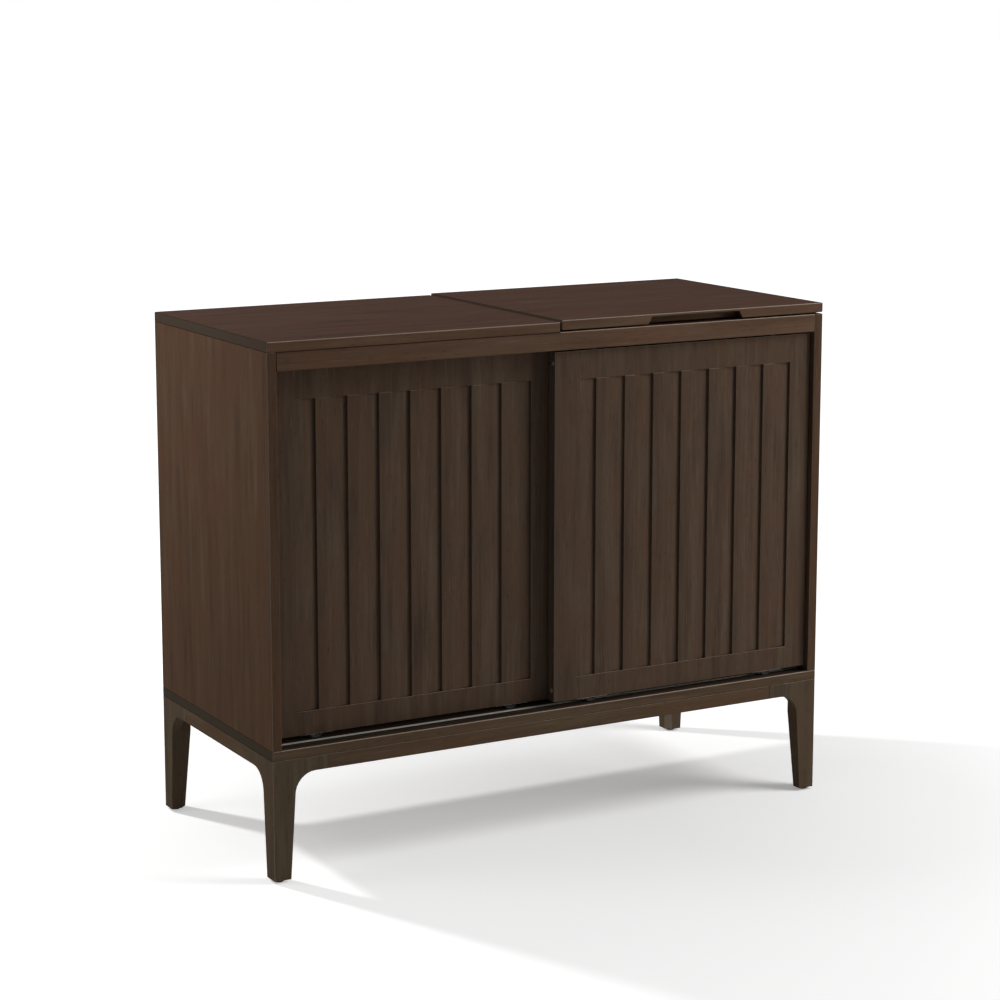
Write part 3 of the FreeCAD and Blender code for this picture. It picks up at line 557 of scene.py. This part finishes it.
def board_tint(finish, board):
    """Tint of a board, by the set of boards that were stained together."""
    if "door" in board:
        return finish.door_tint
    if "leg" in board:
        return finish.leg_tint
    if "apron" in board or "base" in board:
        return finish.base_tint
    if board in ("fixed_top", "lid", "front_top_rail"):
        return finish.top_tint
    return finish.frame_tint


class STAND_OT_boards(Operator):
    """Veneer every board, each with its own stretch of grain, and each door in one sheet"""

    bl_idname = "stand.boards"
    bl_label = "Veneer boards"

    def execute(self, context):
        finish = context.scene.stand_finish
        groups = ((UPRIGHT_BOARDS, "stained_veneer_upright", 2),
                  (CROSSWISE_BOARDS, "stained_veneer_crosswise", 0),
                  (DEPTHWISE_BOARDS, "stained_veneer_depthwise", 1))
        # Boards whose upper or left edges meet a neighbour, and how far along X they do
        covered_to = {"front_top_rail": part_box("fixed_top")[1][0],
                      "front_right_leg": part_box("front_apron")[1][0] + SEAM_REACH}
        left_of_all = CAD_BOX[0][0] - 1.0
        place = 0
        for boards, name, grain in groups:
            veneer = stained_veneer(finish, name, grain)
            for board in boards:
                place += 1
                dress(board, veneer)
                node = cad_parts[board]
                sheet = place + len(DOORS)
                for number, door in enumerate(DOORS):
                    if board.startswith(door):
                        sheet = number
                node["board_shift"] = [step * sheet for step in GRAIN_STEP]
                node["board_tint"] = list(board_tint(finish, board))
                node["covered_to"] = covered_to.get(board, left_of_all)
        return {"FINISHED"}


class STAND_OT_backs(Operator):
    """Paint the thin backs"""

    bl_idname = "stand.backs"
    bl_label = "Paint backs"

    def execute(self, context):
        # Painted fibreboard: matt, with a faint rolled stipple and fibres that show through
        board = mottled("painted_fibreboard", context.scene.stand_hardware.back, cell=[0.004] * 3,
                        gloss=(0.55, 0.7), depth=0.00008, drift=0.14, wear_and_highlight=linear("#6b5848"),
                        **{"Specular IOR Level": 0.1})
        dress("left_back_panel", board)
        dress("right_back_panel", board)
        return {"FINISHED"}


class STAND_OT_dowels(Operator):
    """Finish the hidden dowels as plain beech"""

    bl_idname = "stand.dowels"
    bl_label = "Finish dowels"

    def execute(self, context):
        # Beech: pale, with short flecks along the peg
        colour = context.scene.stand_hardware.beech
        for node, name, cell in (("carcass_dowels", "beech_upright", (0.0008, 0.0008, 0.006)),
                                 ("apron_dowels", "beech_lengthwise", (0.006, 0.0008, 0.0008))):
            dress(node, mottled(name, colour, cell, gloss=(0.5, 0.65), depth=0.00005))
        return {"FINISHED"}


class STAND_OT_tracks(Operator):
    """Finish the lower track and the upper guides"""

    bl_idname = "stand.tracks"
    bl_label = "Finish tracks"

    def execute(self, context):
        hardware = context.scene.stand_hardware
        dress("lower_track", anodised_track(hardware))
        dress("upper_guides", nylon_guide(hardware))
        return {"FINISHED"}


class STAND_OT_wheels(Operator):
    """Turn the four roller wheels, each with a pale hub, a web and a dark round tyre"""

    bl_idname = "stand.wheels"
    bl_label = "Turn wheels"

    def execute(self, context):
        hardware = context.scene.stand_hardware
        # Natural nylon: milky, slightly see-through, with fine mould marks
        nylon = mottled("natural_nylon", hardware.wheel, cell=[0.0015] * 3, gloss=(0.34, 0.5),
                        depth=0.00003, drift=0.06, **{"Subsurface Weight": 0.15})
        # Moulded rubber: matt and near black, with a dusty bloom
        rubber = mottled("moulded_rubber", hardware.tyre, cell=[0.002] * 3, gloss=(0.6, 0.75),
                         depth=0.00004, drift=0.3)
        for door in DOORS:
            axle_low, axle_high = corners(solids(door + "_roller_axles")[0])
            bore = (axle_high.z - axle_low.z) / 2 + RUN_CLEARANCE
            for side in ("left", "right"):
                node = door + "_" + side + "_wheel"
                low, high = corners(solids(node)[0])
                radius = (high.z - low.z) / 2
                half = (high.y - low.y) / 2
                # One flank from the bore to the tread, as radius and share of the half width
                flank = [(bore, 0.8), (bore + 0.0002, 1.0), (0.36 * radius, 1.0), (0.4 * radius, 0.92),
                         (0.43 * radius, 0.55), (0.72 * radius, 0.55), (0.75 * radius, 0.92),
                         (0.79 * radius, 1.0), (0.94 * radius, 1.0), (0.985 * radius, 0.9), (radius, 0.68)]
                profile = [(r, h * half) for r, h in flank] + [(r, -h * half) for r, h in reversed(flank)]
                profile.append(profile[0])
                blank = turned(profile, 2 * hardware.round_segments)
                for face in blank.faces:
                    middle = face.calc_center_median()
                    face.material_index = int(math.hypot(middle.x, middle.y) > 0.45 * radius)
                whole = bmesh.new()
                gather(whole, blank, (low + high) / 2, (0, 1, 0))
                mount(node, whole, door.replace("door", side + "_roller"), "nylon_wheel", nylon, rubber)
        return {"FINISHED"}


class STAND_OT_rollers(Operator):
    """Finish the roller cups and turn their riveted axles"""

    bl_idname = "stand.rollers"
    bl_label = "Turn axles"

    def execute(self, context):
        hardware = context.scene.stand_hardware
        zinc = zinc_steel(hardware)
        for door in DOORS:
            dress(door + "_roller_housings", zinc)
            whole = bmesh.new()
            for points in solids(door + "_roller_axles"):
                low, high = corners(points)
                radius = (high.z - low.z) / 2
                length = high.y - low.y
                dome = [(0.0, 0.0), (0.5 * radius, 0.00004), (0.85 * radius, 0.00018), (radius, 0.00045)]
                profile = dome + [(r, length - h) for r, h in reversed(dome)]
                middle = (low + high) / 2
                foot = (middle.x, low.y, middle.z)
                gather(whole, turned(profile, hardware.round_segments), foot, (0, 1, 0))
            mount(door + "_roller_axles", whole, door, "zinc_steel", zinc)
        return {"FINISHED"}


def screw(hardware, radius, head_r, length, dome):
    """A cross-recess screw along +Z, its head at the foot: countersunk, or domed by a given height."""
    crest = 0.86 * radius
    root = 0.7 * crest
    reach = hardware.recess_share * head_r
    hub = 0.4 * reach
    if dome:
        top = [(0.0, -dome), (hub, -0.98 * dome), (reach, -0.86 * dome), (0.82 * head_r, -0.6 * dome),
               (0.95 * head_r, -0.25 * dome), (head_r, 0.0), (crest, 0.0)]
    else:
        top = [(0.0, -0.00004), (hub, -0.00004), (reach, -0.00004), (0.95 * head_r, -0.00002),
               (head_r, 0.0001), (crest, head_r - crest)]
    thread = []
    height = top[-1][1] + hardware.thread_pitch
    while height < length - 2 * radius:
        thread += [(root, height - 0.3 * hardware.thread_pitch), (crest, height)]
        height += hardware.thread_pitch
    bm = turned(top + thread + [(root, length - 1.5 * radius), (0.0, length)], hardware.round_segments)

    # Sink the middle and four arms of the head
    step = 2 * math.pi / hardware.round_segments
    sunk = []
    for face in bm.faces:
        middle = face.calc_center_median()
        out = math.hypot(middle.x, middle.y)
        near_arm = abs(math.remainder(math.atan2(middle.y, middle.x), math.pi / 2)) < step
        if middle.z < 0.00001 and (out < hub or (out < reach and near_arm)):
            sunk.append(face)
    if not sunk:
        raise RuntimeError("screw head has no faces to sink")
    walls = bmesh.ops.extrude_face_region(bm, geom=sunk)["geom"]
    floor = [item for item in walls if isinstance(item, bmesh.types.BMVert)]
    bmesh.ops.translate(bm, vec=(0, 0, 0.3 * head_r), verts=floor)
    bmesh.ops.scale(bm, vec=(0.8, 0.8, 1.0), verts=floor)
    bmesh.ops.recalc_face_normals(bm, faces=bm.faces)
    return bm


class STAND_OT_screws(Operator):
    """Turn every screw, with a thread and a cross recess"""

    bl_idname = "stand.screws"
    bl_label = "Turn screws"

    def execute(self, context):
        hardware = context.scene.stand_hardware
        zinc = zinc_steel(hardware)
        # Node, body, way that the shank points, shank and head radius, height of the dome
        groups = [
            ("base_screws", "cabinet", (0, 0, 1), 0.002, 0.004, 0.0),
            ("top_screws", "cabinet", (0, 0, 1), 0.002, 0.004, 0.0),
            ("back_screws", "cabinet", (0, -1, 0), 0.0015, 0.003, 0.0012),
            ("fixed_hinge_screws", "cabinet", (0, 0, -1), 0.0015, 0.003, 0.0),
            ("lid_hinge_screws", "lid", (0, 0, 1), 0.0015, 0.003, 0.0),
        ]
        groups += [(door + "_roller_screws", door, (0, 0, 1), 0.0015, 0.003, 0.0012) for door in DOORS]
        for node, body, way, radius, head_r, dome in groups:
            whole = bmesh.new()
            for points in solids(node):
                low, high = corners(points)
                middle = (low + high) / 2
                half = (high - low).dot(Vector([abs(part) for part in way])) / 2
                seat = middle - Vector(way) * (half - dome)
                gather(whole, screw(hardware, radius, head_r, 2 * half - dome, dome), seat, way)
            mount(node, whole, body, "zinc_steel", zinc)
        return {"FINISHED"}


class STAND_OT_hinges(Operator):
    """Form the butt hinges: round-cornered leaves, rolled knuckles and pins"""

    bl_idname = "stand.hinges"
    bl_label = "Form hinges"

    def execute(self, context):
        hardware = context.scene.stand_hardware
        zinc = zinc_steel(hardware)
        segments = hardware.round_segments
        ease = 0.0001
        lip = 0.0003
        leaf_gap = 0.0005
        tab_lap = 0.002
        pins = [corners(points) for points in solids("hinge_pins")]
        for node, body in (("fixed_hinge_leaves", "cabinet"), ("lid_hinge_leaves", "lid")):
            whole = bmesh.new()
            for points, (pin_low, pin_high) in zip(solids(node), pins):
                low, high = corners(points)
                axis_y, axis_z = ((pin_low + pin_high) / 2).yz
                bore = (pin_high.z - pin_low.z) / 2 + RUN_CLEARANCE
                radius = high.y - axis_y
                flat = [point for point in points if point.y < axis_y - 1.5 * radius]
                leaf_low, leaf_high = corners(flat)
                leaf_high.y = axis_y - radius - leaf_gap
                gather(whole, slab(leaf_low, leaf_high, hardware.leaf_corner, ease))
                ends = sorted({round(point.x, 5) for point in points if point.y > axis_y + 0.5 * radius})
                for start, end in zip(ends[::2], ends[1::2]):
                    tab_low = Vector((start, leaf_high.y - tab_lap, leaf_low.z))
                    tab_high = Vector((end, axis_y - 0.6 * radius, leaf_high.z))
                    gather(whole, slab(tab_low, tab_high, 2 * ease, ease, upright=0))
                    length = end - start
                    tube = [(bore, 0.0), (radius - lip, 0.0), (radius - ease, ease), (radius, lip),
                            (radius, length - lip), (radius - ease, length - ease), (radius - lip, length),
                            (bore, length), (bore, 0.0)]
                    gather(whole, turned(tube, segments), (start, axis_y, axis_z), (1, 0, 0))
            mount(node, whole, body, "zinc_steel", zinc)
        whole = bmesh.new()
        for low, high in pins:
            radius = (high.z - low.z) / 2
            length = high.x - low.x
            end = [(0.0, 0.0), (0.6 * radius, 0.00006), (0.9 * radius, 0.0002), (radius, 0.0005)]
            middle = (low + high) / 2
            foot = (low.x, middle.y, middle.z)
            gather(whole, turned(end + [(r, length - h) for r, h in reversed(end)], segments), foot, (1, 0, 0))
        mount("hinge_pins", whole, "cabinet", "zinc_steel", zinc)
        return {"FINISHED"}


class STAND_OT_guide_pins(Operator):
    """Turn the collared pins that run in the upper guides"""

    bl_idname = "stand.guide_pins"
    bl_label = "Turn guide pins"

    def execute(self, context):
        hardware = context.scene.stand_hardware
        nylon = nylon_guide(hardware)
        for door in DOORS:
            whole = bmesh.new()
            rail_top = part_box(door + "_top_rail")[1][2]
            for points in solids(door + "_guide_pins"):
                low, high = corners(points)
                collar = (high.x - low.x) / 2
                stem = 0.6 * collar
                depth = low.z - rail_top
                rise = high.z - rail_top
                profile = [(0.0, depth), (0.8 * stem, depth), (stem, depth + 0.0008), (stem, 0.0),
                           (0.95 * collar, 0.0), (collar, 0.0003), (collar, 0.0011), (0.95 * collar, 0.0014),
                           (1.1 * stem, 0.0015), (stem, 0.002), (stem, rise - 0.0024),
                           (0.94 * stem, rise - 0.0011), (0.72 * stem, rise - 0.0003), (0.4 * stem, rise),
                           (0.0, rise)]
                middle = (low + high) / 2
                foot = (middle.x, middle.y, rail_top)
                gather(whole, turned(profile, hardware.round_segments), foot)
            mount(door + "_guide_pins", whole, door, "nylon_guide", nylon)
        return {"FINISHED"}


class STAND_OT_bumpers(Operator):
    """Form the soft bumpers on the doors' edges and under the lid"""

    bl_idname = "stand.bumpers"
    bl_label = "Form bumpers"

    def execute(self, context):
        hardware = context.scene.stand_hardware
        clear = clear_bumper(hardware)
        # From the foot to the top, as shares of the radius and the rise
        crown = [(0.0, 0.0), (1.0, 0.0), (1.0, 0.22), (0.97, 0.42), (0.9, 0.62), (0.76, 0.82), (0.55, 0.94),
                 (0.3, 0.99), (0.0, 1.0)]
        for door in DOORS:
            whole = bmesh.new()
            edge = (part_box(door + "_left_stile")[0][0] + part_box(door + "_right_stile")[1][0]) / 2
            for points in solids(door + "_edge_bumpers"):
                low, high = corners(points)
                radius = (high.z - low.z) / 2
                rise = high.x - low.x
                way = 1 if low.x > edge else -1
                middle = (low + high) / 2
                foot = (low.x if way > 0 else high.x, middle.y, middle.z)
                profile = [(r * radius, h * rise) for r, h in crown]
                gather(whole, turned(profile, hardware.round_segments), foot, (way, 0, 0))
            mount(door + "_edge_bumpers", whole, door, "clear_bumper", clear)
        whole = bmesh.new()
        for points in solids("lid_bumpers"):
            low, high = corners(points)
            radius = (high.x - low.x) / 2
            rise = high.z - low.z
            middle = (low + high) / 2
            foot = (middle.x, middle.y, low.z)
            profile = [(r * radius, h * rise) for r, h in crown]
            gather(whole, turned(profile, hardware.round_segments), foot)
        mount("lid_bumpers", whole, "cabinet", "clear_bumper", clear)
        return {"FINISHED"}


class STAND_OT_shelf_pins(Operator):
    """Form the pins under the shelves: a flat spoon on a round stem"""

    bl_idname = "stand.shelf_pins"
    bl_label = "Form shelf pins"

    def execute(self, context):
        hardware = context.scene.stand_hardware
        stem_r = 0.0025
        stem_root = -0.001
        spoon_corner = 0.002
        spoon_ease = 0.0003
        whole = bmesh.new()
        for points in solids("shelf_pins"):
            low, high = corners(points)
            middle = (low.y + high.y) / 2
            spoon = [point for point in points if abs(point.y - middle) > 2 * stem_r]
            spoon_low, spoon_high = corners(spoon)
            way = -1 if spoon_low.x + spoon_high.x > low.x + high.x else 1
            gather(whole, slab(spoon_low, spoon_high, spoon_corner, spoon_ease))
            length = (high.x - low.x) - (spoon_high.x - spoon_low.x)
            profile = [(0.0, stem_root), (stem_r, stem_root), (stem_r, length - 0.0008),
                       (0.8 * stem_r, length - 0.0002), (0.5 * stem_r, length), (0.0, length)]
            foot = (spoon_low.x if way < 0 else spoon_high.x, middle, spoon_high.z - stem_r)
            gather(whole, turned(profile, hardware.round_segments), foot, (way, 0, 0))
        mount("shelf_pins", whole, "cabinet", "zinc_steel", zinc_steel(hardware))
        return {"FINISHED"}


class STAND_OT_glides(Operator):
    """Turn the nail-on glides under the legs"""

    bl_idname = "stand.glides"
    bl_label = "Turn glides"

    def execute(self, context):
        hardware = context.scene.stand_hardware
        # Moulded plastic: near black, with a fine grain scuffed paler at the rim
        plastic = mottled("black_moulded_plastic", hardware.glide, cell=[0.0012] * 3, gloss=(0.42, 0.58),
                          depth=0.00004, wear_and_highlight=linear("#3a3632"))
        whole = bmesh.new()
        for points in solids("foot_glides"):
            low, high = corners(points)
            radius = (high.x - low.x) / 2
            rise = high.z - low.z
            # From the sunk nail head over the rim to the leg
            profile = [(0.0, 0.0009), (0.22 * radius, 0.0011), (0.3 * radius, 0.0012), (0.36 * radius, 0.0002),
                       (0.42 * radius, 0.0), (0.8 * radius, 0.0), (0.91 * radius, 0.0002),
                       (0.98 * radius, 0.0007), (radius, 0.0014), (radius, rise), (0.0, rise)]
            middle = (low + high) / 2
            foot = (middle.x, middle.y, low.z)
            gather(whole, turned(profile, hardware.round_segments), foot)
        mount("foot_glides", whole, "cabinet", "black_glide", plastic)
        return {"FINISHED"}


def seen_rays(tree):
    """1 for what is seen, straight, mirrored or through something clear, and 0 for what lights the scene."""
    rays = add(tree, "LightPath").outputs
    seen = add(tree, "Math", {0: rays["Is Camera Ray"], 1: rays["Is Glossy Ray"]}, operation="ADD")
    return add(tree, "Math", {0: seen.outputs["Value"], 1: rays["Is Transmission Ray"]},
               operation="ADD").outputs["Value"]


def paper_floor(stage):
    """Plain matt studio paper with a fine tooth, which is seen to fade to white away from the stand."""
    material = blank_material("studio_paper")
    tree = material.node_tree
    coords = add(tree, "TexCoord").outputs["Object"]
    grit = 0.0025
    tooth = add(tree, "TexNoise", {"Vector": coords, "Scale": 1 / grit, "Detail": 2.0}).outputs["Fac"]
    relief = add(tree, "Bump", {"Strength": 0.05, "Distance": 0.0002, "Height": tooth}).outputs["Normal"]
    paper = add(tree, "BsdfDiffuse", {"Color": opaque(stage.floor), "Normal": relief}).outputs["BSDF"]
    # The fade starts from the shadow on the right in front of the stand
    away = add(tree, "VectorMath", {0: coords, 1: FADE_CENTRE}, operation="DISTANCE").outputs["Value"]
    lift = add(tree, "MapRange", {"Value": away, "From Min": FADE_START, "From Max": FADE_END,
                                  "To Min": stage.lift, "To Max": 1.0}).outputs["Result"]
    lifted = add(tree, "Math", {0: seen_rays(tree), 1: lift}, operation="MULTIPLY").outputs["Value"]
    white = add(tree, "Emission", {"Color": (1, 1, 1, 1), "Strength": lifted}).outputs["Emission"]
    both = add(tree, "AddShader", {0: paper, 1: white}).outputs["Shader"]
    add(tree, "OutputMaterial", {"Surface": both})
    return material


class STAND_OT_stage(Operator):
    """Lay the floor, set the lights and the camera"""

    bl_idname = "stand.stage"
    bl_label = "Set stage"

    def execute(self, context):
        scene = context.scene
        stage = scene.stand_stage
        scene.view_settings.view_transform = "Standard"

        bm = bmesh.new()
        bmesh.ops.create_grid(bm, x_segments=1, y_segments=1, size=FLOOR_HALF)
        piece = made_piece("floor", bm, paper_floor(stage))

        world = bpy.data.worlds.new("studio")
        scene.world = world
        world.use_nodes = True
        tree = world.node_tree
        tree.nodes.clear()
        even = add(tree, "Background", {"Color": (1, 1, 1, 1), "Strength": stage.ambient}).outputs[0]
        white = add(tree, "Background", {"Color": (1, 1, 1, 1), "Strength": 1.0}).outputs[0]
        mixed = add(tree, "MixShader", {0: seen_rays(tree), 1: even, 2: white}).outputs[0]
        add(tree, "OutputWorld", {"Surface": mixed})

        for name, strength, size, spread, place, aim in (
                ("key_lamp", stage.key, 0.18, 180, (-1.20, 1.62, 1.4), (0.0, 0.0, 0.4)),
                ("low_softbox", stage.low, 1.2, 180, (2.3, -1.5, 0.9), (0.3, -0.1, 0.5)),
                ("high_softbox", stage.high, 1.2, 180, (1.6, -1.2, 2.2), (0.3, -0.1, 0.5)),
                ("left_softbox", stage.left, 0.9, 180, (-1.6, 0.3, 1.5), (-0.4, 0.0, 0.6)),
                ("side_lamp", stage.side, 0.5, 70, (-1.15, 0.2, 1.0), (-0.45, 0.0, 0.72))):
            lamp = bpy.data.lights.new(name, "AREA")
            lamp.shape = "DISK"
            lamp.size = size
            lamp.spread = math.radians(spread)
            lamp.energy = strength
            holder = bpy.data.objects.new(name, lamp)
            holder.location = place
            way = Vector(aim) - Vector(place)
            holder.rotation_euler = way.to_track_quat("-Z", "Y").to_euler()
            scene.collection.objects.link(holder)

        camera = bpy.data.cameras.new("photo_camera")
        camera.lens = stage.lens
        camera.shift_y = CAMERA_SHIFT
        camera.clip_end = 4 * FLOOR_HALF
        holder = bpy.data.objects.new("photo_camera", camera)
        holder.location = CAMERA_PLACE
        holder.rotation_euler = (math.pi / 2 - CAMERA_PITCH, 0.0, -CAMERA_YAW)
        scene.collection.objects.link(holder)
        scene.camera = holder
        return {"FINISHED"}


STEPS = (STAND_OT_boards, STAND_OT_backs, STAND_OT_dowels, STAND_OT_tracks, STAND_OT_wheels, STAND_OT_rollers,
         STAND_OT_screws, STAND_OT_hinges, STAND_OT_guide_pins, STAND_OT_bumpers, STAND_OT_shelf_pins,
         STAND_OT_glides, STAND_OT_stage)


class STAND_PT_build(Panel):
    """The stand's settings and steps in the 3D view's sidebar"""

    bl_idname = "STAND_PT_build"
    bl_label = "Record player stand"
    bl_space_type = "VIEW_3D"
    bl_region_type = "UI"
    bl_category = "Stand"

    def draw(self, context):
        scene = context.scene
        for settings in (scene.stand_finish, scene.stand_hardware, scene.stand_stage):
            box = self.layout.box()
            for name in settings.bl_rna.properties.keys():
                if name not in ("rna_type", "name"):
                    box.prop(settings, name)
        for step in STEPS:
            self.layout.operator(step.bl_idname)


CLASSES = (StandFinish, StandHardware, StandStage, *STEPS, STAND_PT_build)


def register():
    for made in CLASSES:
        bpy.utils.register_class(made)
    bpy.types.Scene.stand_finish = PointerProperty(type=StandFinish)
    bpy.types.Scene.stand_hardware = PointerProperty(type=StandHardware)
    bpy.types.Scene.stand_stage = PointerProperty(type=StandStage)


def unregister():
    del bpy.types.Scene.stand_stage
    del bpy.types.Scene.stand_hardware
    del bpy.types.Scene.stand_finish
    for made in reversed(CLASSES):
        bpy.utils.unregister_class(made)


def main():
    register()
    bpy.ops.stand.boards()
    bpy.ops.stand.backs()
    bpy.ops.stand.dowels()
    bpy.ops.stand.tracks()
    bpy.ops.stand.wheels()
    bpy.ops.stand.rollers()
    bpy.ops.stand.screws()
    bpy.ops.stand.hinges()
    bpy.ops.stand.guide_pins()
    bpy.ops.stand.bumpers()
    bpy.ops.stand.shelf_pins()
    bpy.ops.stand.glides()
    bpy.ops.stand.stage()


if __name__ == "__main__":
    main()
